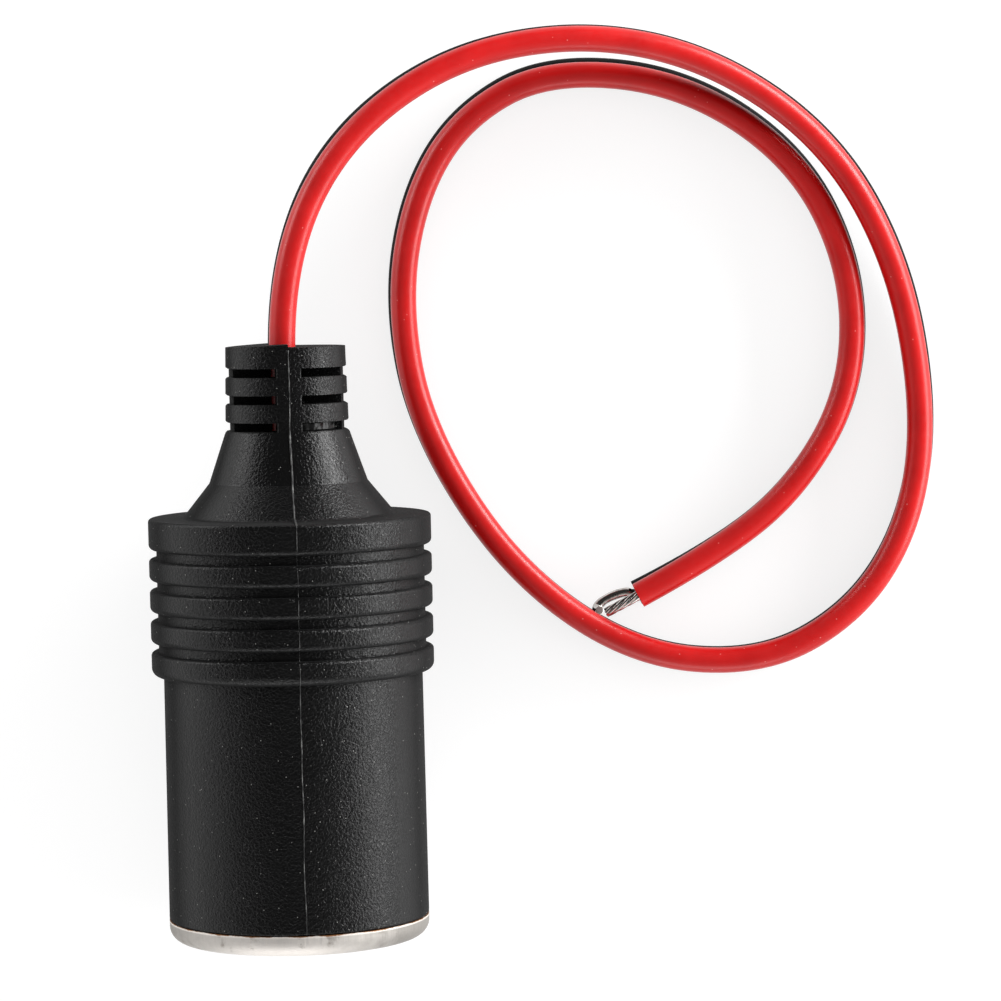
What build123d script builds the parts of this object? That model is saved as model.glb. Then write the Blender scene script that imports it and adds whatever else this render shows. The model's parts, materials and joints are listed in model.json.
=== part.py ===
from build123d import *
import os
from math import asin, atan2, cos, degrees, hypot, radians, sin, tan

os.makedirs("parts", exist_ok=True)

# An in-line 12 volt socket lying on its side, with its twin lead coiled on the same surface.
# Origin: centre of the bore where its straight wall starts. +Y towards the lead, +Z up.

# Barrel: sheet metal drawn to a stepped cup, with a rolled rim at the mouth
bore_d = 21.0
bore_len = 33.0
cup_d = 16.0
cup_depth = 6.0
sheet_t = 0.5
rim_d = 27.7
rim_h = 2.25
rim_corner_r = 1.6
mouth_roll_r = 1.0
draw_r = 0.3

# Housing: body, ribbed collar, two cones and the strain relief
body_mouth_d = 27.7
body_collar_d = 27.5
body_edge_r = 0.3
collar_before_end = 5.65
collar_d = 30.0
collar_len = 16.7
collar_edge_r = 0.9
rib_mouth_r = 0.55
rib_lead_r = 0.35
groove_count = 4
groove_pitch = 3.3
groove_first = 3.05
groove_w = 1.0
groove_depth = 0.8
cone_base_d = 22.6
cone_waist_d = 16.8
cone_tip_d = 13.1
cone_steep_len = 3.6
cone_gentle_len = 5.4
cone_blend_r = 0.6
cone_wall = 2.6
relief_tip_d = 12.7
relief_len = 8.9
relief_land = 2.0
tip_step = 0.33
tip_draft = 2.5
barrel_fit = 0.05

# Windows of the strain relief, four at each level, between two spines and two side posts. They run out
# in rounded notches over the posts.
window_levels = 3
window_pitch = 2.84
window_first = 0.1
window_w = 0.95
spine_w = 2.6
spine_edge_r = 0.15
post_t = 4.2
post_recess = 0.5
notch_r = 0.45
notch_depth = 0.38

# Twin lead: red half above the black half, held a little to the left of the mould line
wire_d = 2.8
wire_gap = 0.05
lead_aside = -0.4
lead_fit = 0.05
lead_hold = 1.0
core_d = 1.2
tip_d = 1.1

# Contact stack on the barrel's floor
insulator_d = 8.8
insulator_t = 1.5
spigot_d = 6.2
washer_d = 8.4
washer_t = 1.0
contact_head_d = 6.0
contact_head_h = 1.6
contact_shank_d = 2.4
contact_tail_d = 3.8
contact_tail_h = 0.8
rivet_fit = 0.05

# Solder tags, their rivet and their joints
tag_t = 0.5
tag_w = 2.6
tag_ring_d = 5.2
tag_bend_r = 0.5
tag_rise = 5.0
positive_tab_z = 3.2
negative_tab_z = 4.6
negative_rivet_z = 6.7
negative_rivet_d = 1.4
negative_rivet_head_d = 1.9
negative_rivet_head_h = 0.5
negative_tag_margin = 1.3
core_lead_in = 1.1
core_bend_r = 1.5
core_slope_len = 2.3
core_overlap = 3.4
solder_d = 2.0
solder_len = 2.4
solder_film = 0.15

# How the part lies: the mould line is turned a little from the top
mould_line_turn = 5.7

# Stations along the axis, from the start of the bore's straight wall
crest = -mouth_roll_r
lip = crest + rim_h
collar_start = bore_len - collar_before_end
step = bore_len + draw_r
floor_in = step + cup_depth
floor_out = floor_in + sheet_t
shoulder = collar_start + collar_len
waist = shoulder + cone_steep_len
relief_start = waist + cone_gentle_len
relief_tip = relief_start + relief_len
cavity_end = relief_start - relief_land

# Radii
bore_r = bore_d / 2
rim_r = rim_d / 2
cup_r = cup_d / 2
collar_r = collar_d / 2
housing_bore_r = bore_r + sheet_t + barrel_fit
cup_bore_r = cup_r + sheet_t + barrel_fit
relief_r = cone_tip_d / 2
relief_taper = (cone_tip_d - relief_tip_d) / (2 * relief_len)

# It rests on the rim's rounded corner and on the collar's first edge, so the axis dips to the mouth
rest_run = (collar_start + collar_edge_r) - (crest + rim_corner_r)
rest_rise = (collar_r - collar_edge_r) - (rim_r - rim_corner_r)
dip = atan2(rest_rise, rest_run) + asin((collar_edge_r - rim_corner_r) / hypot(rest_run, rest_rise))
surface_z = (crest + rim_corner_r) * sin(dip) - (rim_r - rim_corner_r) * cos(dip) - rim_corner_r

# Section plane: x is the radius and y runs along the axis. Side plane and lead plane: x is up and y runs
# along the axis.
section = Plane(Location((0, 0, 0), (degrees(dip), mould_line_turn, 0)))
side = Plane(section.origin, x_dir=section.z_dir, z_dir=-section.x_dir)
lead_plane = side.offset(-lead_aside)
socket_axis = Axis(section.origin, section.y_dir)


def across(station):
    """Plane across the axis at a station, facing the mouth, with y up."""
    return Plane(section.from_local_coords((0, station, 0)), x_dir=section.x_dir, z_dir=-section.y_dir)


def along_lead(points):
    """Points of the lead plane as points of the part's frame."""
    return [lead_plane.from_local_coords((up, station, 0)) for up, station in points]


def is_spine_edge(edge):
    """True for an outer edge where a spine meets a window."""
    spot = section.to_local_coords(edge.center())
    beside_spine = abs(abs(spot.X) - spine_w / 2) < spine_edge_r
    on_outside = hypot(spot.X, spot.Z) > relief_tip_d / 2 - spine_edge_r
    return beside_spine and on_outside and spot.Y > relief_start


def round_bar(points, radii, diameter):
    """A round bar along straight runs joined by tangent arcs."""
    with BuildPart() as bar:
        with BuildLine() as path:
            FilletPolyline(*points, radius=radii)
        with BuildSketch(Plane(path.line @ 0, z_dir=path.line % 0)):
            Circle(diameter / 2)
        sweep()
    return bar


# Housing
with BuildPart() as housing:
    with BuildSketch(section) as shell:
        with BuildLine():
            Polyline(
                (housing_bore_r, lip),
                (body_mouth_d / 2, lip),
                (body_collar_d / 2, collar_start),
                (collar_r, collar_start),
                (collar_r, shoulder),
                (cone_base_d / 2, shoulder),
                (cone_waist_d / 2, waist),
                (relief_r, relief_start),
                (relief_tip_d / 2, relief_tip),
                (0, relief_tip),
                (0, cavity_end),
                (relief_r - cone_wall, cavity_end),
                (cone_waist_d / 2 - cone_wall, waist),
                (cup_bore_r, shoulder),
                (cup_bore_r, step + sheet_t),
                (housing_bore_r, step + sheet_t),
                close=True,
            )
        make_face()
        round_corners = [
            ((body_mouth_d / 2, lip), body_edge_r),
            ((collar_r, collar_start), collar_edge_r),
            ((collar_r, shoulder), rib_lead_r),
            ((cone_base_d / 2, shoulder), cone_blend_r),
            ((cup_bore_r, step + sheet_t), draw_r + barrel_fit),
        ]
        for groove in range(groove_count):
            groove_mid = collar_start + groove_first + groove * groove_pitch
            with Locations((collar_r, groove_mid)):
                Rectangle(2 * groove_depth, groove_w, mode=Mode.SUBTRACT)
            round_corners.append(((collar_r, groove_mid - groove_w / 2), rib_lead_r))
            round_corners.append(((collar_r, groove_mid + groove_w / 2), rib_mouth_r))
        for corner, radius in round_corners:
            fillet(shell.vertices().sort_by_distance(corner)[0], radius)
    revolve(axis=socket_axis)
    for level in range(window_levels):
        window_start = relief_start + window_first + level * window_pitch
        window_end = window_start + window_w
        with BuildSketch(across(window_end)):
            Circle(relief_r + window_w)
            Rectangle(spine_w, 2 * (relief_r + window_w), mode=Mode.SUBTRACT)
            with BuildSketch(mode=Mode.SUBTRACT):
                Circle(relief_r - post_recess)
                Rectangle(2 * relief_r, post_t, mode=Mode.INTERSECT)
        extrude(amount=window_w, mode=Mode.SUBTRACT)
        ring_r = relief_r - relief_taper * (window_start - relief_start)
        notch_edge = ring_r - notch_depth
        notch_top = notch_edge + notch_r
        with BuildSketch(section):
            with BuildLine():
                Line((notch_edge, window_end), (notch_edge, window_start))
                CenterArc((notch_edge, window_start - notch_r), notch_r, 90, -90)
                CenterArc((notch_edge, window_end + notch_r), notch_r, 270, 90)
                Line((notch_top, window_start - notch_r), (notch_top, window_end + notch_r))
            make_face()
            mirror(about=Plane.YZ)
        extrude(amount=relief_r, both=True, mode=Mode.SUBTRACT)
    fillet(housing.edges().filter_by(is_spine_edge), spine_edge_r)
    # The left half's end leans with its draft, so it stands out at the mould line
    tip_r = relief_tip_d / 2
    tip_end = relief_tip + tip_step
    with BuildSketch(across(relief_tip)):
        Circle(tip_r)
        with Locations((-tip_r, 0)):
            Rectangle(2 * tip_r, 2 * tip_r, mode=Mode.INTERSECT)
    extrude(amount=-tip_step)
    with BuildSketch(section):
        with BuildLine():
            tip_side = tip_end - tip_r * tan(radians(tip_draft))
            Polyline((0, tip_end), (-tip_r, tip_side), (-tip_r, tip_end), close=True)
        make_face()
    extrude(amount=tip_r, both=True, mode=Mode.SUBTRACT)
    with BuildSketch(across(tip_end)):
        lead_h = 2 * wire_d + wire_gap
        with Locations((lead_aside, 0)):
            SlotOverall(lead_h + 2 * lead_fit, wire_d + 2 * lead_fit, rotation=90)
    extrude(amount=tip_end - cavity_end, mode=Mode.SUBTRACT)

housing.part.label = "housing"
export_step(housing.part, "parts/housing.step")

# Barrel: one sheet, followed from the rim's lip over the mouth and down to the hole in its floor
with BuildPart() as socket_barrel:
    with BuildSketch(section):
        with BuildLine():
            FilletPolyline(
                (rim_r, lip),
                (rim_r, crest),
                (bore_r, crest),
                (bore_r, step),
                (cup_r, step),
                (cup_r, floor_in),
                (spigot_d / 2 + barrel_fit, floor_in),
                radius=[rim_corner_r, mouth_roll_r, draw_r, draw_r + sheet_t, draw_r],
            )
            offset(amount=sheet_t, side=Side.RIGHT)
        make_face()
    revolve(axis=socket_axis)
    with BuildSketch(across(floor_out)):
        with Locations((0, -negative_rivet_z)):
            Circle(negative_rivet_d / 2 + rivet_fit)
    extrude(amount=sheet_t, mode=Mode.SUBTRACT)

socket_barrel.part.label = "socket_barrel"
export_step(socket_barrel.part, "parts/socket_barrel.step")

# Front insulator: disc on the barrel's floor, with a spigot through the floor's hole
insulator_front = floor_in - insulator_t
with BuildPart() as front_insulator:
    with BuildSketch(across(floor_in)):
        Circle(insulator_d / 2)
    extrude(amount=insulator_t)
    with BuildSketch(across(floor_out)):
        Circle(spigot_d / 2)
    extrude(amount=sheet_t)
    with BuildSketch(across(floor_out)):
        Circle(contact_shank_d / 2 + rivet_fit)
    extrude(amount=sheet_t + insulator_t, mode=Mode.SUBTRACT)

front_insulator.part.label = "front_insulator"
export_step(front_insulator.part, "parts/front_insulator.step")

# Rear insulator: washer between the floor and the positive tag
washer_back = floor_out + washer_t
with BuildPart() as rear_insulator:
    with BuildSketch(across(washer_back)):
        Circle(washer_d / 2)
        Circle(contact_shank_d / 2 + rivet_fit, mode=Mode.SUBTRACT)
    extrude(amount=washer_t)

rear_insulator.part.label = "rear_insulator"
export_step(rear_insulator.part, "parts/rear_insulator.step")

# Centre contact: rivet with a domed head in the bore and a peened tail over the positive tag
tag_back = washer_back + tag_t
contact_dome_r = ((contact_head_d / 2) ** 2 + contact_head_h**2) / (2 * contact_head_h)
with BuildPart() as centre_contact:
    with BuildSketch(section):
        with BuildLine():
            Polyline(
                (0, insulator_front - contact_head_h),
                (0, tag_back + contact_tail_h),
                (contact_shank_d / 2, tag_back + contact_tail_h),
                (contact_tail_d / 2, tag_back),
                (contact_shank_d / 2, tag_back),
                (contact_shank_d / 2, insulator_front),
                (contact_head_d / 2, insulator_front),
            )
            RadiusArc(
                (contact_head_d / 2, insulator_front),
                (0, insulator_front - contact_head_h),
                contact_dome_r,
            )
        make_face()
    revolve(axis=socket_axis)

centre_contact.part.label = "centre_contact"
export_step(centre_contact.part, "parts/centre_contact.step")

# Positive tag: ring under the rivet's tail, with a tab bent towards the lead
with BuildPart() as positive_tag:
    with BuildSketch(side):
        with BuildLine():
            FilletPolyline(
                (0, washer_back),
                (positive_tab_z + tag_t, washer_back),
                (positive_tab_z + tag_t, washer_back + tag_rise),
                radius=tag_bend_r + tag_t,
            )
            offset(amount=tag_t, side=Side.LEFT)
        make_face()
    extrude(amount=tag_w / 2, both=True)
    with BuildSketch(across(tag_back)):
        Circle(tag_ring_d / 2)
    extrude(amount=tag_t)
    with BuildSketch(across(tag_back)):
        Circle(contact_shank_d / 2 + rivet_fit)
    extrude(amount=tag_t, mode=Mode.SUBTRACT)

positive_tag.part.label = "positive_tag"
export_step(positive_tag.part, "parts/positive_tag.step")

# Negative tag: strip riveted to the barrel's floor, with a tab bent towards the lead
with BuildPart() as negative_tag:
    with BuildSketch(side):
        with BuildLine():
            FilletPolyline(
                (-negative_rivet_z - negative_tag_margin, floor_out + tag_t),
                (-negative_tab_z - tag_t, floor_out + tag_t),
                (-negative_tab_z - tag_t, floor_out + tag_rise),
                radius=tag_bend_r,
            )
            offset(amount=tag_t, side=Side.RIGHT)
        make_face()
    extrude(amount=tag_w / 2, both=True)
    with BuildSketch(across(floor_out + tag_t)):
        with Locations((0, -negative_rivet_z)):
            Circle(negative_rivet_d / 2 + rivet_fit)
    extrude(amount=tag_t, mode=Mode.SUBTRACT)

negative_tag.part.label = "negative_tag"
export_step(negative_tag.part, "parts/negative_tag.step")

# Rivet of the negative tag: flat head in the cup, tail on the tag
with BuildPart() as negative_rivet:
    with BuildSketch(across(floor_in)):
        with Locations((0, -negative_rivet_z)):
            Circle(negative_rivet_head_d / 2)
    extrude(amount=negative_rivet_head_h)
    with BuildSketch(across(floor_out + tag_t)):
        with Locations((0, -negative_rivet_z)):
            Circle(negative_rivet_d / 2)
    extrude(amount=sheet_t + tag_t)
    with BuildSketch(across(floor_out + tag_t + negative_rivet_head_h)):
        with Locations((0, -negative_rivet_z)):
            Circle(negative_rivet_head_d / 2)
    extrude(amount=negative_rivet_head_h)

negative_rivet.part.label = "negative_rivet"
export_step(negative_rivet.part, "parts/negative_rivet.step")

# Stretches of the two wires that the strain relief holds, from the cavity to just inside the tip
wire_pitch = wire_d + wire_gap
wire_up = wire_pitch / 2
tail_start = (waist + cavity_end) / 2
tail_end = relief_tip - lead_hold

with BuildPart() as red_wire_tail:
    with BuildSketch(across(tail_end)):
        with Locations((lead_aside, wire_up)):
            Circle(wire_d / 2)
    extrude(amount=tail_end - tail_start)

red_wire_tail.part.label = "red_wire_tail"
export_step(red_wire_tail.part, "parts/red_wire_tail.step")

with BuildPart() as black_wire_tail:
    with BuildSketch(across(tail_end)):
        with Locations((lead_aside, -wire_up)):
            Circle(wire_d / 2)
    extrude(amount=tail_end - tail_start)

black_wire_tail.part.label = "black_wire_tail"
export_step(black_wire_tail.part, "parts/black_wire_tail.step")

# Stripped conductors, each bent across to lie along its tag
core_turn = tail_start - core_lead_in
core_landing = core_turn - core_slope_len
red_core_z = positive_tab_z - solder_film - core_d / 2
red_core_points = [
    (wire_up, tail_start),
    (wire_up, core_turn),
    (red_core_z, core_landing),
    (red_core_z, core_landing - core_overlap),
]
red_core = round_bar(along_lead(red_core_points), core_bend_r, core_d)
red_core.part.label = "red_core"
export_step(red_core.part, "parts/red_core.step")

black_core_z = -negative_tab_z + solder_film + core_d / 2
black_core_points = [
    (-wire_up, tail_start),
    (-wire_up, core_turn),
    (black_core_z, core_landing),
    (black_core_z, core_landing - core_overlap),
]
black_core = round_bar(along_lead(black_core_points), core_bend_r, core_d)
black_core.part.label = "black_core"
export_step(black_core.part, "parts/black_core.step")

# Solder: a rounded mound along each conductor, flat against its tab
solder_end = core_landing - core_overlap + solder_len
with BuildPart() as positive_solder:
    with BuildSketch(across(solder_end)):
        with Locations((lead_aside, red_core_z)):
            Circle(solder_d / 2)
        with Locations((lead_aside, positive_tab_z + solder_d / 2)):
            Rectangle(solder_d, solder_d, mode=Mode.SUBTRACT)
        with Locations((lead_aside, red_core_z)):
            Circle(core_d / 2, mode=Mode.SUBTRACT)
    extrude(amount=solder_len)

positive_solder.part.label = "positive_solder"
export_step(positive_solder.part, "parts/positive_solder.step")

with BuildPart() as negative_solder:
    with BuildSketch(across(solder_end)):
        with Locations((lead_aside, black_core_z)):
            Circle(solder_d / 2)
        with Locations((lead_aside, -negative_tab_z - solder_d / 2)):
            Rectangle(solder_d, solder_d, mode=Mode.SUBTRACT)
        with Locations((lead_aside, black_core_z)):
            Circle(core_d / 2, mode=Mode.SUBTRACT)
    extrude(amount=solder_len)

negative_solder.part.label = "negative_solder"
export_step(negative_solder.part, "parts/negative_solder.step")

# Free lead: x of the red wire's centre, its y from the strain relief's tip, its height above the surface,
# and how far the black wire below it stands out to the left of the way the lead runs
lead_route = [
    (5.5, 20.9, 17.8, 0.6),
    (17.3, 30.0, 15.6, 0.5),
    (32.0, 32.9, 12.6, 0.4),
    (46.2, 30.0, 9.6, 0.45),
    (58.9, 21.0, 7.0, 0.55),
    (66.2, 7.7, 5.3, 0.55),
    (68.8, -8.4, 4.4, 0.45),
    (67.0, -20.6, 4.25, 0.2),
    (61.0, -30.0, 4.25, 0.1),
    (50.6, -35.6, 4.25, 0.05),
    (36.4, -34.2, 4.25, 0.0),
    (23.3, -24.5, 4.25, 0.05),
    (14.0, -9.1, 4.25, 0.12),
    (11.8, 4.6, 4.25, 0.35),
    (13.9, 16.3, 4.25, 0.45),
    (19.1, 24.6, 4.25, 0.55),
    (28.4, 29.6, 4.25, 0.75),
    (43.1, 28.0, 4.25, 0.75),
    (55.5, 19.5, 4.25, 0.6),
    (61.3, 7.2, 4.25, 0.4),
    (60.9, -6.0, 4.25, 0.3),
    (54.4, -16.8, 4.25, 0.15),
    (45.2, -23.7, 4.25, 0.05),
    (37.2, -27.8, 4.25, -0.2),
]
lead_first_run = 9.0
lead_arc_share = 0.45

red_points = along_lead([(wire_up, tail_end), (wire_up, tail_end + lead_first_run)])
black_points = along_lead([(-wire_up, tail_end), (-wire_up, tail_end + lead_first_run)])
tip_y = section.from_local_coords((0, relief_tip, 0)).Y
red_points += [Vector(x, tip_y + y, surface_z + height) for x, y, height, lean in lead_route]
ahead = red_points[1:] + red_points[-1:]
for place, (x, y, height, lean) in enumerate(lead_route, start=len(black_points)):
    way = ahead[place] - red_points[place - 1]
    left = Vector(-way.Y, way.X, 0).normalized()
    black_points.append(red_points[place] + left * lean - Vector(0, 0, wire_pitch))


def lead_radii(points):
    """The largest arc that each corner of the route has room for."""
    radii = []
    for start, corner, end in zip(points, points[1:], points[2:]):
        turn = radians((corner - start).get_angle(end - corner))
        shorter = min((corner - start).length, (end - corner).length)
        radii.append(lead_arc_share * shorter / tan(turn / 2))
    return radii


for name, points in (("red_wire", red_points), ("black_wire", black_points)):
    wire = round_bar(points, lead_radii(points), wire_d)
    wire.part.label = name
    export_step(wire.part, f"parts/{name}.step")

# Tinned conductor ends, bent as they lie: steps in x, y and z after a straight start at each wire's cut end
red_tip_steps = [(-3.05, -1.58, -0.6)]
black_tip_steps = [(-0.7, 0.42, 0.05), (-2.2, -0.7, 0.2), (-1.3, -1.15, 0.25), (0.52, -0.16, 0.8)]
tip_straight = 0.5
tip_bend_r = 0.65

for name, wire_points, steps in (
    ("red_bare_end", red_points, red_tip_steps),
    ("black_bare_end", black_points, black_tip_steps),
):
    cut_end = wire_points[-1]
    way = (cut_end - wire_points[-2]).normalized()
    tip_points = [cut_end, cut_end + way * tip_straight]
    for tip_move in steps:
        tip_points.append(tip_points[-1] + Vector(tip_move))
    tip = round_bar(tip_points, tip_bend_r, tip_d)
    tip.part.label = name
    export_step(tip.part, f"parts/{name}.step")
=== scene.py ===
import json
from math import asin, cos, pi, radians, sin

import bmesh
import bpy
from mathutils import Matrix, Vector, noise


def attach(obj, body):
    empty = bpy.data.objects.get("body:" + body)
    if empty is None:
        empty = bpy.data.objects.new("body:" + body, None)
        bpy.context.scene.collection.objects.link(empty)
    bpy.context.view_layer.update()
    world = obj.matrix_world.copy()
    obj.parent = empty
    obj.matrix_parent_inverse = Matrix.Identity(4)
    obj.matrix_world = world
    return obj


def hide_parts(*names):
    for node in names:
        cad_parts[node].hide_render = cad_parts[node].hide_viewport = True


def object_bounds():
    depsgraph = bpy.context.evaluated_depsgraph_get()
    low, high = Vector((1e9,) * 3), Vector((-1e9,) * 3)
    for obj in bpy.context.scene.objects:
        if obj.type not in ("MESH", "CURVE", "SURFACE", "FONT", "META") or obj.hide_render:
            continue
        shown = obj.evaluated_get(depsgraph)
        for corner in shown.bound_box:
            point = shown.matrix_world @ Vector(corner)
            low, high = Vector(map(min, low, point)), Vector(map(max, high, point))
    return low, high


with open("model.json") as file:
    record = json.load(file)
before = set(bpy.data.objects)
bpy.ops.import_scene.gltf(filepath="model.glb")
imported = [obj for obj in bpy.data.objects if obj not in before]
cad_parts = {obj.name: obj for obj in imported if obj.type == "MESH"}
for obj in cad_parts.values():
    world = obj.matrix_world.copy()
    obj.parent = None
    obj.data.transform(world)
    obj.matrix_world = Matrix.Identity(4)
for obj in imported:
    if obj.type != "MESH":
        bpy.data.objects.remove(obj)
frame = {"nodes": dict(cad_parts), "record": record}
cad_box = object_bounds()
nodes = frame["nodes"]

# Housing: one moulding in black plastic, from a two-part tool whose eroded steel leaves a leathery
# grain. It is pressed over the barrel, and its slotted tail grips the lead.
mm = 0.001
housing = nodes["housing"]
plug_axis = Vector(frame["record"]["mounts"][0]["axis"])
socket_dip = asin(-plug_axis.z)
mould_line_turn = radians(5.7)
as_it_lies = Matrix.Rotation(socket_dip, 4, "X") @ Matrix.Rotation(mould_line_turn, 4, "Y")
cones_from = 44.0 * mm
cones_to = 53.0 * mm
cones_fade = 0.2 * mm
grain_depth = 0.052 * mm
pore_depth = 0.02 * mm
plastic_dark = (0.003, 0.003, 0.0031, 1)
plastic_light = (0.006, 0.006, 0.0061, 1)
dust_grey = (0.34, 0.34, 0.32, 1)


def new_finish(name):
    """An empty finish and its shader."""
    finish = bpy.data.materials.new(name)
    finish.use_nodes = True
    return finish, finish.node_tree.nodes["Principled BSDF"]


def add_node(finish, kind, **inputs):
    """Adds a node. A keyword is an input's value, the output that feeds it, or a setting of the node."""
    node = finish.node_tree.nodes.new(kind)
    for name, value in inputs.items():
        if isinstance(value, bpy.types.NodeSocket):
            finish.node_tree.links.new(value, node.inputs[name])
        elif name in node.inputs:
            node.inputs[name].default_value = value
        else:
            setattr(node, name, value)
    return node


def feed(finish, shader, **outputs):
    """Links outputs to the shader's sockets, whose names have underscores for spaces here."""
    for name, output in outputs.items():
        finish.node_tree.links.new(output, shader.inputs[name.replace("_", " ")])


def cloudy(finish, place, scale, **settings):
    """A random pattern, from 0 to 1, over the piece."""
    return add_node(finish, "ShaderNodeTexNoise", Vector=place, Scale=scale, **settings).outputs["Fac"]


def spread(finish, value, low, high, to_low=0.0, to_high=1.0):
    """Stretches a value from one range to another, held at the ends. An end may be an output too."""
    ends = {"From Min": low, "From Max": high, "To Min": to_low, "To Max": to_high}
    return add_node(finish, "ShaderNodeMapRange", Value=value, **ends).outputs["Result"]


def reckon(finish, operation, *terms):
    """Works out up to three terms, each a number or an output."""
    node = add_node(finish, "ShaderNodeMath", operation=operation)
    for socket, term in zip(node.inputs, terms):
        if isinstance(term, bpy.types.NodeSocket):
            finish.node_tree.links.new(term, socket)
        else:
            socket.default_value = term
    return node.outputs["Value"]


def blend_colours(finish, share, first, second):
    """Colour between two colours, each a value or an output."""
    mixed = add_node(finish, "ShaderNodeMixRGB", Fac=share, Color1=first, Color2=second)
    return mixed.outputs["Color"]


def relief(finish, height, strength, depth, **under):
    """Raises the surface by a pattern, over another relief if one is given as Normal."""
    raised = add_node(
        finish, "ShaderNodeBump", Strength=strength, Distance=depth, Height=height, **under
    )
    return raised.outputs["Normal"]


def black_plastic():
    """Black plastic with a leathery grain, fainter on the cones, soft mottling and specks of dust."""
    finish, shader = new_finish("black_plastic")
    place = add_node(finish, "ShaderNodeTexCoord").outputs["Object"]
    grain = cloudy(finish, place, 3800, Detail=2, Distortion=0.6)
    pores = cloudy(finish, place, 7000, Detail=1)
    mottle = cloudy(finish, place, 160, Detail=3)
    dust = add_node(finish, "ShaderNodeTexVoronoi", Vector=place, Scale=1200)
    speck = spread(finish, dust.outputs["Distance"], 0.04, 0.085, 0.7, 0.0)
    plastic = blend_colours(finish, mottle, plastic_dark, plastic_light)
    feed(finish, shader, Base_Color=blend_colours(finish, speck, plastic, dust_grey))

    gloss = spread(finish, grain, 0.35, 0.65, 0.25, 0.2)
    facing = add_node(finish, "ShaderNodeLayerWeight", Blend=0.5).outputs["Facing"]
    grazing = spread(finish, facing, 0.35, 0.65)
    scatter = add_node(finish, "ShaderNodeMix", Factor=grazing, A=gloss, B=0.9)
    feed(finish, shader, Roughness=scatter.outputs["Result"])

    station = add_node(finish, "ShaderNodeSeparateXYZ", Vector=place).outputs["Y"]
    past_collar = spread(finish, station, cones_from - cones_fade, cones_from + cones_fade)
    before_tail = spread(finish, station, cones_to - cones_fade, cones_to + cones_fade, 1.0, 0.0)
    on_cones = reckon(finish, "MULTIPLY", past_collar, before_tail)
    pitted = relief(finish, pores, 0.25, pore_depth)
    leather = spread(finish, grain, 0.35, 0.65)
    leather_strength = spread(finish, on_cones, 0.0, 1.0, 0.7, 0.5)
    feed(finish, shader, Normal=relief(finish, leather, leather_strength, grain_depth, Normal=pitted))
    shader.inputs["Specular IOR Level"].default_value = 0.21
    return finish


housing.material_slots[0].material = black_plastic()

# Mould lines: the thin raised seams that the two halves of the tool leave along the top and underneath.
# They follow the housing's own surface and waver a little where plastic crept into the joint.
mould_line_from = 1.4 * mm
mould_line_to = 62.25 * mm
mould_line_step = 0.3 * mm
mould_line_w = 0.17 * mm
mould_line_sway = 0.12 * mm
mould_line_shiver = 0.03 * mm
mould_line_swell = [(27.3 * mm, 0.65), (cones_from, 0.32), (cones_to, 1.15), (mould_line_to, 0.65)]
above_housing = 20 * mm
seam_black = (0.01, 0.01, 0.01, 1)
seam_grey = (0.17, 0.17, 0.165, 1)


def torn_plastic():
    """Black plastic that greyed where the seam's thin edge was trimmed."""
    finish, shader = new_finish("torn_plastic")
    place = add_node(finish, "ShaderNodeTexCoord").outputs["Object"]
    wear_and_highlight = cloudy(finish, place, 900, Detail=3)
    share = spread(finish, wear_and_highlight, 0.48, 0.7)
    feed(finish, shader, Base_Color=blend_colours(finish, share, seam_black, seam_grey))
    feed(finish, shader, Roughness=spread(finish, wear_and_highlight, 0.3, 0.7, 0.35, 0.6))
    return finish


def round_curve(name, d, rounding, finish):
    """An empty curve whose runs are round and closed at their ends."""
    curve = bpy.data.curves.new(name, "CURVE")
    curve.dimensions = "3D"
    curve.bevel_depth = d / 2
    curve.bevel_resolution = rounding
    curve.use_fill_caps = True
    curve.materials.append(finish)
    return curve


def add_run(curve, kind, points):
    """Adds a run with these points to a curve."""
    run = curve.splines.new(kind)
    run.points.add(len(points) - 1)
    for knot, point in zip(run.points, points):
        knot.co = (*point, 1)
    return run


def add_piece(name, shape):
    """Puts a shape, a light or a camera into the scene, at the origin."""
    piece = bpy.data.objects.new(name, shape)
    bpy.context.scene.collection.objects.link(piece)
    return piece


trimmed_seam = torn_plastic()
for name, up in (("mould_line_top", 1), ("mould_line_under", -1)):
    inward = as_it_lies.to_3x3() @ Vector((0, 0, -up))
    seam_spots = []
    seam_swells = []
    for step in range(int((mould_line_to - mould_line_from) / mould_line_step)):
        station = mould_line_from + step * mould_line_step
        sway = mould_line_sway * noise.noise((station * 180, up, 0))
        sway += mould_line_shiver * noise.noise((station * 1500, up, 0))
        start = as_it_lies @ Vector((sway, station, up * above_housing))
        found, spot, *_ = housing.ray_cast(start, inward)
        if found:
            swell = next(share for end, share in mould_line_swell if station < end)
            ragged = 1 + 0.5 * noise.noise((station * 350, up, 3))
            ragged += 0.5 * noise.noise((station * 1400, up, 5))
            seam_spots.append(spot)
            seam_swells.append(swell * ragged)
    seam_curve = round_curve(name, mould_line_w, 1, trimmed_seam)
    seam_run = add_run(seam_curve, "POLY", seam_spots)
    for knot, swell in zip(seam_run.points, seam_swells):
        knot.radius = swell
    seam = add_piece(name, seam_curve)
    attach(seam, "root")

# Window skin: a film of plastic that crept round a core of the tool and half closes one window of the
# tail. It is part of the moulding, lies below the ring's surface and is uneven and glossy.
skin_start = 53.18 * mm
skin_w = 0.9 * mm
skin_r = 5.6 * mm
skin_from = radians(13)
skin_to = radians(63)
skin_t = 0.25 * mm
skin_wave = 0.16 * mm
ripple_depth = 0.08 * mm
skin_dark = (0.003, 0.003, 0.003, 1)
skin_light = (0.01, 0.01, 0.01, 1)


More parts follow.
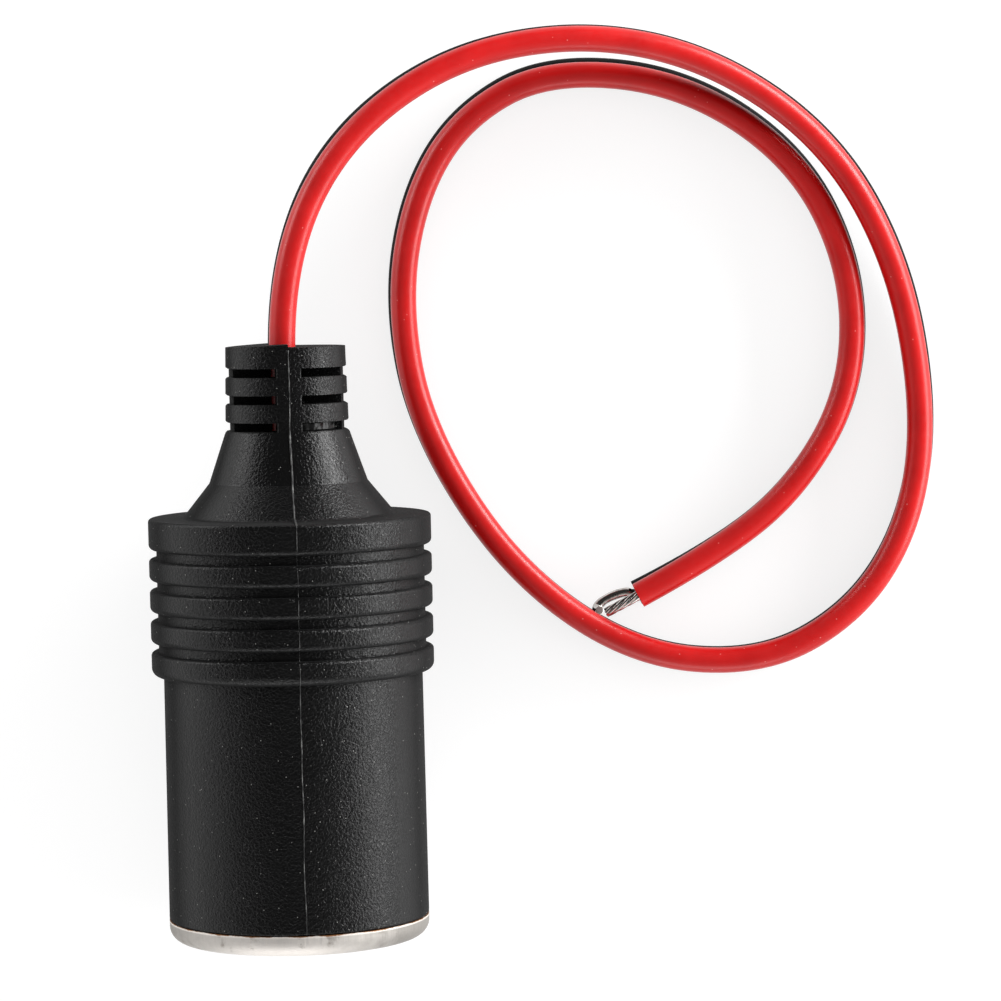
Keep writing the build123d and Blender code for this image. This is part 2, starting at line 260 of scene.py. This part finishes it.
def glossy_skin():
    """Black plastic that set against air, so it is smoother than the grained tool."""
    finish, shader = new_finish("glossy_skin")
    place = add_node(finish, "ShaderNodeTexCoord").outputs["Object"]
    ripple = cloudy(finish, place, 1400, Detail=2)
    feed(finish, shader, Base_Color=blend_colours(finish, ripple, skin_dark, skin_light))
    feed(finish, shader, Roughness=spread(finish, ripple, 0.3, 0.7, 0.12, 0.3))
    feed(finish, shader, Normal=relief(finish, ripple, 0.3, ripple_depth))
    shader.inputs["Specular IOR Level"].default_value = 0.2
    return finish


def mesh_piece(name, shape, finish):
    """Makes a finished shape a mesh piece of the scene."""
    mesh = bpy.data.meshes.new(name)
    shape.to_mesh(mesh)
    shape.free()
    mesh.materials.append(finish)
    return add_piece(name, mesh)


skin_shape = bmesh.new()
bmesh.ops.create_vert(skin_shape, co=(skin_r * sin(skin_from), skin_start, skin_r * cos(skin_from)))
across = bmesh.ops.extrude_vert_indiv(skin_shape, verts=skin_shape.verts[:])
bmesh.ops.translate(skin_shape, verts=across["verts"], vec=(0, skin_w, 0))
bmesh.ops.subdivide_edges(skin_shape, edges=skin_shape.edges[:], cuts=5)
bmesh.ops.spin(
    skin_shape,
    geom=skin_shape.verts[:] + skin_shape.edges[:],
    cent=(0, 0, 0),
    axis=(0, 1, 0),
    angle=skin_to - skin_from,
    steps=30,
)
for vert in skin_shape.verts:
    outward = Vector((vert.co.x, 0, vert.co.z)).normalized()
    vert.co += outward * skin_wave * noise.noise(vert.co * 1300)
bmesh.ops.recalc_face_normals(skin_shape, faces=skin_shape.faces[:])
bmesh.ops.solidify(skin_shape, geom=skin_shape.faces[:], thickness=skin_t)
for face in skin_shape.faces:
    face.smooth = True
bmesh.ops.transform(skin_shape, matrix=as_it_lies, verts=skin_shape.verts[:])
window_skin = mesh_piece("window_skin", skin_shape, glossy_skin())
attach(window_skin, "root")

# Barrel: thin steel drawn to a stepped cup, coppered and nickel plated, with its rim rolled over the
# housing. The cut edge of the rim is bare. The plate is satin and a little stained on the rim, and
# smoother and greyer in the bore. Painted shade greys the plate towards both ends of the rim, and a
# painted highlight lightens a thin band just below the lip, where the rolled edge catches the light.
lip_station = 1.25 * mm
rim_inside_r = 13.0 * mm
bore_r = 10.5 * mm
bore_edge = (bore_r + 0.6 * mm, bore_r + 1.4 * mm)
cut_edge = (lip_station + 0.13 * mm, lip_station + 0.2 * mm)
cut_edge_waver = 0.4 * mm
# Painted highlight: a pale band just below the lip, where the rolled edge catches the light.
painted_highlight_band = (lip_station - 0.24 * mm, lip_station - 0.12 * mm)
# Painted shade: the plate greys from 5 to 15 mm either side of a line 1.5 mm off the middle, made patchy
# by the stains.
unshaded_aside = 1.5 * mm
painted_shade_aside = (5 * mm, 15 * mm)
painted_shade_waver = 5 * mm
line_depth = 0.03 * mm
rim_plate = [(0.66, 0.63, 0.6, 1), (0.82, 0.78, 0.74, 1)]
bore_plate = [(0.34, 0.33, 0.32, 1), (0.5, 0.485, 0.47, 1)]
painted_shade_grey = (0.3, 0.285, 0.265, 1)
dirt_brown = (0.3, 0.27, 0.24, 1)
painted_highlight_colour = (0.95, 0.9, 0.84, 1)
bare_copper = (0.3, 0.14, 0.06, 1)


def nickel_plate():
    """Satin nickel with drawing lines along the barrel, stains, a coppery cut edge at the rim, painted
    shade towards the rim's ends and a painted highlight below the lip.
    """
    finish, shader = new_finish("nickel_plate")
    place = add_node(finish, "ShaderNodeTexCoord").outputs["Object"]
    turned = add_node(finish, "ShaderNodeMapping", Vector=place, Rotation=(-socket_dip, 0, 0))
    level = turned.outputs["Vector"]
    drawn = add_node(finish, "ShaderNodeMapping", Vector=level, Scale=(1, 0.06, 1))
    lines = cloudy(finish, drawn.outputs["Vector"], 5200, Detail=3)
    stains = cloudy(finish, place, 650, Detail=4, Roughness=0.6)
    ways = add_node(finish, "ShaderNodeSeparateXYZ", Vector=level).outputs
    flat = add_node(finish, "ShaderNodeCombineXYZ", X=ways["X"], Z=ways["Z"]).outputs["Vector"]
    radius = add_node(finish, "ShaderNodeVectorMath", operation="LENGTH", Vector=flat).outputs["Value"]
    outside = spread(finish, radius, *bore_edge)

    on_rim = reckon(finish, "GREATER_THAN", radius, rim_inside_r)
    ragged = reckon(finish, "MULTIPLY_ADD", stains, cut_edge_waver, ways["Y"])
    edge = spread(finish, ragged, *cut_edge)
    bare = reckon(finish, "MULTIPLY", edge, on_rim)
    # Painted highlight in a thin band below the lip.
    wear_and_highlight = spread(finish, ways["Y"], *painted_highlight_band, 0.0, 0.6)
    # Painted shade towards both ends of the rim, named tarnish here, made patchy by the stains.
    aside = reckon(finish, "ABSOLUTE", reckon(finish, "ADD", ways["X"], unshaded_aside))
    patchy = reckon(finish, "MULTIPLY_ADD", stains, painted_shade_waver, aside)
    tarnish = spread(finish, patchy, *painted_shade_aside)
    dirt = spread(finish, stains, 0.6, 0.74, 0.0, 0.75)

    bore = blend_colours(finish, lines, *bore_plate)
    rim = blend_colours(finish, lines, *rim_plate)
    plate = blend_colours(finish, outside, bore, rim)
    shaded_plate = blend_colours(finish, tarnish, plate, painted_shade_grey)
    stained = blend_colours(finish, dirt, shaded_plate, dirt_brown)
    highlit = blend_colours(finish, wear_and_highlight, stained, painted_highlight_colour)
    feed(finish, shader, Base_Color=blend_colours(finish, bare, highlit, bare_copper))

    smoothest = spread(finish, outside, 0.0, 1.0, 0.24, 0.62)
    roughest = spread(finish, outside, 0.0, 1.0, 0.36, 0.76)
    feed(finish, shader, Roughness=spread(finish, lines, 0.3, 0.7, smoothest, roughest))
    feed(finish, shader, Normal=relief(finish, lines, 0.8, line_depth))
    shader.inputs["Metallic"].default_value = 1.0
    return finish


plated = nickel_plate()
for name in ("socket_barrel", "negative_rivet"):
    nodes[name].material_slots[0].material = plated

# Insulators: a shouldered disc and a washer punched from brown pressed fibre, clamped on the barrel's
# floor by the centre contact.
fibre_dark = (0.07, 0.042, 0.026, 1)
fibre_light = (0.16, 0.1, 0.06, 1)
nap_depth = 0.03 * mm


def pressed_fibre():
    """Brown fibre board with flecks."""
    finish, shader = new_finish("pressed_fibre")
    place = add_node(finish, "ShaderNodeTexCoord").outputs["Object"]
    flecks = cloudy(finish, place, 1800, Detail=5, Roughness=0.7)
    share = spread(finish, flecks, 0.35, 0.65)
    feed(finish, shader, Base_Color=blend_colours(finish, share, fibre_dark, fibre_light))
    feed(finish, shader, Roughness=spread(finish, flecks, 0.3, 0.7, 0.55, 0.75))
    feed(finish, shader, Normal=relief(finish, flecks, 0.3, nap_depth))
    return finish


fibre = pressed_fibre()
for name in ("front_insulator", "rear_insulator"):
    nodes[name].material_slots[0].material = fibre

# Contacts: the domed brass rivet in the middle of the cup and the two bent brass tags that the lead is
# soldered to, stamped from strip.
brass_bright = (0.74, 0.54, 0.26, 1)
brass_dull = (0.5, 0.35, 0.17, 1)


def stamped_brass():
    """Bright brass with fine scratches and a dull tarnish in patches."""
    finish, shader = new_finish("stamped_brass")
    place = add_node(finish, "ShaderNodeTexCoord").outputs["Object"]
    scratch = cloudy(finish, place, 3500, Detail=4, Distortion=1.5)
    tarnish = cloudy(finish, place, 500, Detail=3)
    share = spread(finish, tarnish, 0.45, 0.7)
    feed(finish, shader, Base_Color=blend_colours(finish, share, brass_bright, brass_dull))
    feed(finish, shader, Roughness=spread(finish, scratch, 0.3, 0.7, 0.2, 0.38))
    shader.inputs["Metallic"].default_value = 1.0
    return finish


brass = stamped_brass()
for name in ("centre_contact", "positive_tag", "negative_tag"):
    nodes[name].material_slots[0].material = brass

# Conductors and solder: the lead's stripped copper strands inside the housing, tinned, and the drops of
# solder that hold them on their tags.
tin_bright = (0.68, 0.66, 0.63, 1)
tin_grey = (0.42, 0.4, 0.38, 1)
flow_depth = 0.05 * mm


def dipped_tin():
    """Tin over copper strands: bright, a little uneven, with grey patches."""
    finish, shader = new_finish("dipped_tin")
    place = add_node(finish, "ShaderNodeTexCoord").outputs["Object"]
    flow = cloudy(finish, place, 1500, Detail=3)
    share = spread(finish, flow, 0.35, 0.7)
    feed(finish, shader, Base_Color=blend_colours(finish, share, tin_bright, tin_grey))
    feed(finish, shader, Roughness=spread(finish, flow, 0.3, 0.7, 0.14, 0.3))
    feed(finish, shader, Normal=relief(finish, flow, 0.3, flow_depth))
    shader.inputs["Metallic"].default_value = 1.0
    return finish


tin = dipped_tin()
for name in ("positive_solder", "negative_solder", "red_core", "black_core"):
    nodes[name].material_slots[0].material = tin

# Lead: a flat twin of two flexible wires in satin vinyl, red above black, extruded side by side.
# It leaves the housing through its slotted tail, comes down to the surface and lies there in one and a
# half turns.
wire_d = 2.8 * mm
wire_pitch = 2.85 * mm
lead_aside = -0.4 * mm
held_to = 60.95 * mm
tail_tip = 61.95 * mm
first_run = 9.0 * mm
haze_depth = 0.03 * mm
surface_z = cad_box[0].z
red_pigments = [(0.48, 0.004, 0.004, 1), (0.58, 0.007, 0.007, 1), (0.8, 0.3, 0.28, 1)]
black_pigments = [(0.003, 0.003, 0.003, 1), (0.006, 0.006, 0.006, 1), (0.04, 0.04, 0.04, 1)]
# Painted shade: a darker copy of the red for the lead inside the tail, where the windows lie in shadow.
painted_shade_red_pigments = [(0.1, 0.004, 0.004, 1), (0.17, 0.006, 0.006, 1), (0.2, 0.05, 0.05, 1)]
# In millimetres: the red wire's place past the tail, its height above the table, and how far the black
# wire lies to the left of it.
lead_route = [
    (5.5, 20.9, 17.8, 0.6),
    (17.3, 30.0, 15.6, 0.5),
    (32.0, 32.9, 12.6, 0.4),
    (46.2, 30.0, 9.6, 0.45),
    (58.9, 21.0, 7.0, 0.55),
    (66.2, 7.7, 5.3, 0.55),
    (68.8, -8.4, 4.4, 0.45),
    (67.0, -20.6, 4.25, 0.2),
    (61.0, -30.0, 4.25, 0.1),
    (50.6, -35.6, 4.25, 0.05),
    (36.4, -34.2, 4.25, 0.0),
    (23.3, -24.5, 4.25, 0.05),
    (14.0, -9.1, 4.25, 0.12),
    (11.8, 4.6, 4.25, 0.35),
    (13.9, 16.3, 4.25, 0.45),
    (19.1, 24.6, 4.25, 0.55),
    (28.4, 29.6, 4.25, 0.75),
    (43.1, 28.0, 4.25, 0.75),
    (55.5, 19.5, 4.25, 0.6),
    (61.3, 7.2, 4.25, 0.4),
    (60.9, -6.0, 4.25, 0.3),
    (54.4, -16.8, 4.25, 0.15),
    (45.2, -23.7, 4.25, 0.05),
    (37.2, -27.8, 4.25, -0.2),
]


def along_lead(up, station):
    """Point of the upright plane in which the tail holds the lead, as it lies."""
    return as_it_lies @ Vector((lead_aside, station, up))


def vinyl(name, deep, bright, scuff, haze_from, shine):
    """Satin vinyl with slight mottling, fine haze in its gloss and small scuffs."""
    finish, shader = new_finish(name)
    place = add_node(finish, "ShaderNodeTexCoord").outputs["Object"]
    mottle = cloudy(finish, place, 220, Detail=3)
    haze = cloudy(finish, place, 1900, Detail=3)
    specks = add_node(finish, "ShaderNodeTexVoronoi", Vector=place, Scale=800)
    mark = spread(finish, specks.outputs["Distance"], 0.03, 0.07, 0.6, 0.0)
    colour = blend_colours(finish, spread(finish, mottle, 0.3, 0.7), deep, bright)
    feed(finish, shader, Base_Color=blend_colours(finish, mark, colour, scuff))
    feed(finish, shader, Roughness=spread(finish, haze, 0.3, 0.7, haze_from, haze_from + 0.1))
    feed(finish, shader, Normal=relief(finish, haze, 0.05, haze_depth))
    shader.inputs["Specular IOR Level"].default_value = shine
    return finish


def smooth_run(curve, points):
    """Adds a smooth run, led by these points, to a curve."""
    curve.resolution_u = 16
    run = add_run(curve, "NURBS", points)
    run.order_u = 3
    run.use_endpoint_u = True


def laid_wire(name, points, finish):
    """A round wire along a smooth line through its route."""
    curve = round_curve(name, wire_d, 6, finish)
    smooth_run(curve, points)
    return add_piece(name, curve)


red_vinyl = vinyl("red_vinyl", *red_pigments, haze_from=0.28, shine=0.38)
black_vinyl = vinyl("black_vinyl", *black_pigments, haze_from=0.5, shine=0.06)
# The red inside the tail gets the darker pigments, as painted shade of the windows' inside.
painted_shade_red_vinyl = vinyl("red_vinyl_painted_shade", *painted_shade_red_pigments, haze_from=0.35, shine=0.3)
nodes["red_wire_tail"].material_slots[0].material = painted_shade_red_vinyl
nodes["black_wire_tail"].material_slots[0].material = black_vinyl

tip_y = (as_it_lies @ Vector((0, tail_tip, 0))).y
red_points = [along_lead(wire_pitch / 2, held_to), along_lead(wire_pitch / 2, held_to + first_run)]
black_points = [along_lead(-wire_pitch / 2, held_to), along_lead(-wire_pitch / 2, held_to + first_run)]
for x, y, height, lean in lead_route:
    red_points.append(Vector((x * mm, tip_y + y * mm, surface_z + height * mm)))
ahead = red_points[1:] + red_points[-1:]
for place, (x, y, height, lean) in enumerate(lead_route, start=len(black_points)):
    way = ahead[place] - red_points[place - 1]
    left = Vector((-way.y, way.x, 0)).normalized()
    black_points.append(red_points[place] + left * lean * mm - Vector((0, 0, wire_pitch)))

red_lead = laid_wire("red_lead", red_points, red_vinyl)
black_lead = laid_wire("black_lead", black_points, black_vinyl)
for lead, node in ((red_lead, "red_wire"), (black_lead, "black_wire")):
    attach(lead, "root")
    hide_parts(node)

# Bare ends: the conductors of seven twisted copper strands, stripped and dipped in tin at the lead's far
# end. The red one stays a twist of strands, and the black one is one bar, bent over at its cut tip.
wound_strands = 6
strand_d = 0.4 * mm
twist_r = 0.36 * mm
twist_pitch = 7 * mm
bar_d = 1.1 * mm
cut_face_d = 0.94 * mm
cut_face_t = 0.06 * mm
tip_straight = 0.5 * mm
red_tip_steps = [(-3.05, -1.58, -0.6)]
black_tip_steps = [(-0.7, 0.42, 0.05), (-2.2, -0.7, 0.2), (-1.3, -1.15, 0.25), (0.52, -0.16, 0.8)]
cut_dark = (0.2, 0.18, 0.17, 1)
cut_light = (0.36, 0.34, 0.32, 1)


def tip_line(points):
    """Points along a smooth line through the tip's route."""
    curve = bpy.data.curves.new("tip_line", "CURVE")
    curve.dimensions = "3D"
    smooth_run(curve, points)
    drawn = add_piece("tip_line", curve)
    bpy.context.view_layer.update()
    line = bpy.data.meshes.new_from_object(drawn)
    spots = [vert.co.copy() for vert in line.vertices]
    bpy.data.objects.remove(drawn)
    bpy.data.meshes.remove(line)
    return spots


def twisted_strands(name, spots):
    """Six strands wound round one in the middle."""
    curve = round_curve(name, strand_d, 2, tin)
    for strand in range(wound_strands):
        winding = []
        gone = 0.0
        for place, spot in enumerate(spots):
            before = spots[max(place - 1, 0)]
            after = spots[min(place + 1, len(spots) - 1)]
            gone += (spot - before).length
            way = (after - before).normalized()
            aside = way.cross(Vector((0, 0, 1))).normalized()
            turn = 2 * pi * (strand / wound_strands + gone / twist_pitch)
            out = (aside * cos(turn) + aside.cross(way) * sin(turn)) * twist_r
            winding.append(spot + out)
        add_run(curve, "POLY", winding)
    add_run(curve, "POLY", spots)
    return [add_piece(name, curve)]


def cut_metal():
    """Tin and copper smeared by the cutter, dull and grey."""
    finish, shader = new_finish("cut_metal")
    place = add_node(finish, "ShaderNodeTexCoord").outputs["Object"]
    smear = cloudy(finish, place, 3000, Detail=3)
    feed(finish, shader, Base_Color=blend_colours(finish, smear, cut_dark, cut_light))
    feed(finish, shader, Roughness=spread(finish, smear, 0.3, 0.7, 0.6, 0.8))
    shader.inputs["Metallic"].default_value = 0.3
    return finish


def dipped_bar(name, spots):
    """Strands that the tin has drawn together to one smooth bar, cut off flat."""
    curve = round_curve(name, bar_d, 5, tin)
    run = add_run(curve, "POLY", spots)
    for knot, spot in zip(run.points, spots):
        knot.radius = 0.96 + 0.1 * noise.noise(spot * 900)
    run.use_smooth = True
    bar = add_piece(name, curve)
    way = (spots[-1] - spots[-2]).normalized()
    facing = Matrix.Translation(spots[-1]) @ way.to_track_quat("Z", "Y").to_matrix().to_4x4()
    face_shape = bmesh.new()
    bmesh.ops.create_cone(
        face_shape,
        cap_ends=True,
        segments=32,
        radius1=cut_face_d / 2,
        radius2=cut_face_d / 2,
        depth=cut_face_t,
        matrix=facing,
    )
    return [bar, mesh_piece("cut_face", face_shape, cut_metal())]


for lead, wire_points, tip_steps, form, name, node in (
    (red_lead, red_points, red_tip_steps, twisted_strands, "red_strands", "red_bare_end"),
    (black_lead, black_points, black_tip_steps, dipped_bar, "black_dipped_end", "black_bare_end"),
):
    way = (wire_points[-1] - wire_points[-2]).normalized()
    tip_points = [wire_points[-1], wire_points[-1] + way * tip_straight]
    for tip_step in tip_steps:
        tip_points.append(tip_points[-1] + Vector(tip_step) * mm)
    bare_end = form(name, tip_line(tip_points))
    for piece in bare_end:
        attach(piece, "root")
    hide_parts(node)

# Table and studio: a plain white table in a white room, with two soft boxes low on each side, the
# brighter ones behind, and a weak one in front. Table and room look white but light the object gently.
table_size = 1.2
table_white = (0.32, 0.32, 0.32, 1)
table_glow = 0.76
ceiling_lean = radians(32)
ceiling_way = (0, sin(ceiling_lean), cos(ceiling_lean))
room_light = 0.62
box_height = 160 * mm


def seen_share(tree):
    """1 for what is seen, also in a mirror or through glass, and 0 for what lights the object."""
    ray = add_node(tree, "ShaderNodeLightPath").outputs
    mirrored = reckon(tree, "MAXIMUM", ray["Is Camera Ray"], ray["Is Glossy Ray"])
    return reckon(tree, "MAXIMUM", mirrored, ray["Is Transmission Ray"])


table_shape = bmesh.new()
bmesh.ops.create_grid(table_shape, x_segments=1, y_segments=1, size=table_size)
bmesh.ops.translate(table_shape, verts=table_shape.verts[:], vec=(0, 0, surface_z))
table_top, table_shader = new_finish("white_table")
table_shader.inputs["Base Color"].default_value = table_white
table_shader.inputs["Roughness"].default_value = 0.8
table_shader.inputs["Emission Color"].default_value = (1, 1, 1, 1)
glow = spread(table_top, seen_share(table_top), 0, 1, 0, table_glow)
feed(table_top, table_shader, Emission_Strength=glow)
table = mesh_piece("table", table_shape, table_top)

room = bpy.data.worlds.new("white_room")
room.use_nodes = True
bpy.context.scene.world = room
wall = add_node(room, "ShaderNodeTexCoord").outputs["Generated"]
ceiling = add_node(room, "ShaderNodeVectorMath", operation="DOT_PRODUCT", Vector=wall)
ceiling.inputs[1].default_value = ceiling_way
wall_light = spread(room, ceiling.outputs["Value"], 0.1, 0.7, 1.0, 0.03)
strength = add_node(room, "ShaderNodeMix", Factor=seen_share(room), A=room_light, B=wall_light)
background = room.node_tree.nodes["Background"]
background.inputs["Color"].default_value = (1, 1, 1, 1)
feed(room, background, Strength=strength.outputs["Result"])

for name, x, y, facing, box_length, power in (
    ("left_box", -330 * mm, 25 * mm, Vector((1, 0, 0)), 250 * mm, 0.08),
    ("left_back_box", -330 * mm, 325 * mm, Vector((1, 0, 0)), 350 * mm, 0.88),
    ("right_box", 350 * mm, 25 * mm, Vector((-1, 0, 0)), 250 * mm, 0.82),
    ("right_back_box", 350 * mm, 325 * mm, Vector((-1, 0, 0)), 350 * mm, 3.0),
    ("front_box", 0, -300 * mm, Vector((0, 1, 0)), 400 * mm, 0.45),
):
    box_light = bpy.data.lights.new(name, "AREA")
    box_light.shape = "RECTANGLE"
    box_light.size = box_length
    box_light.size_y = box_height
    box_light.energy = power
    box = add_piece(name, box_light)
    box.location = (x, y, box_height / 2)
    box.rotation_euler = facing.to_track_quat("-Z", "Y").to_euler()
    box.visible_camera = False

# Camera: a long lens above the table, about 0.43 m from the socket, as in the photograph. It looks
# straight down but for a degree or so.
film_w = 36
lens_length = 143.86
nearest_seen = 0.01
camera_spot = (22.65 * mm, 55.0 * mm, 426.4 * mm)
camera_tip = radians(-1.34)
camera_turn = radians(-1.265)
camera_data = bpy.data.cameras.new("camera")
camera_data.sensor_width = film_w
camera_data.lens = lens_length
camera_data.clip_start = nearest_seen
camera = add_piece("camera", camera_data)
camera.location = camera_spot
camera.rotation_euler = (camera_tip, 0, camera_turn)
bpy.context.scene.camera = camera
bpy.context.scene.view_settings.view_transform = "Standard"
